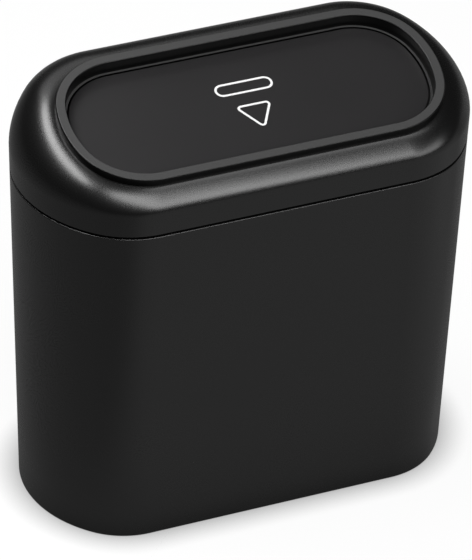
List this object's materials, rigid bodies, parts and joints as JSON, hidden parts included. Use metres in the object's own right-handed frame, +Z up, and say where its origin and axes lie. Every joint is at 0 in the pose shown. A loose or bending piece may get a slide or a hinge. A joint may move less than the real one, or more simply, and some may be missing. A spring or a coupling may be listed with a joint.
{
  "type": "car trash can",
  "caption": "Tapered bin with bowed ends, a lift-off rounded cover with a sloping top, and a sprung flap that swings in when pushed.",
  "frame": {"origin": "middle of the base, on the surface that the bin stands on", "axes": "+X along the length, +Y towards the hinge side at the back, +Z up"},
  "size_m": [0.2006, 0.1036, 0.1987],
  "materials": {
    "bin_plastic": "fine satin texture, black, moulded",
    "flap_plastic": "smooth satin, charcoal black, moulded",
    "rod_steel": "drawn bright rod",
    "spring_steel": "drawn wire"
  },
  "bodies": {
    "bin": {"bin_body": "bin_plastic"},
    "cover": {"top_cover": "bin_plastic", "rim_frame": "bin_plastic", "hinge_rod": "rod_steel", "spring_left": "spring_steel", "spring_right": "spring_steel"},
    "flap": {"push_flap": "flap_plastic"}
  },
  "joints": [
    {"name": "cover_lift", "type": "slide", "parent": "bin", "child": "cover", "axis": [0, 0, 1], "range_m": [0, 0.06]},
    {"name": "flap_hinge", "type": "hinge", "parent": "cover", "child": "flap", "pos_m": [0, 0.01883, 0.18551], "axis": [1, 0, 0], "range_deg": [0, 75], "stiffness_Nm_per_rad": 0.02, "springref_deg": -45.84, "deforming": ["spring_left", "spring_right"]}
  ]
}
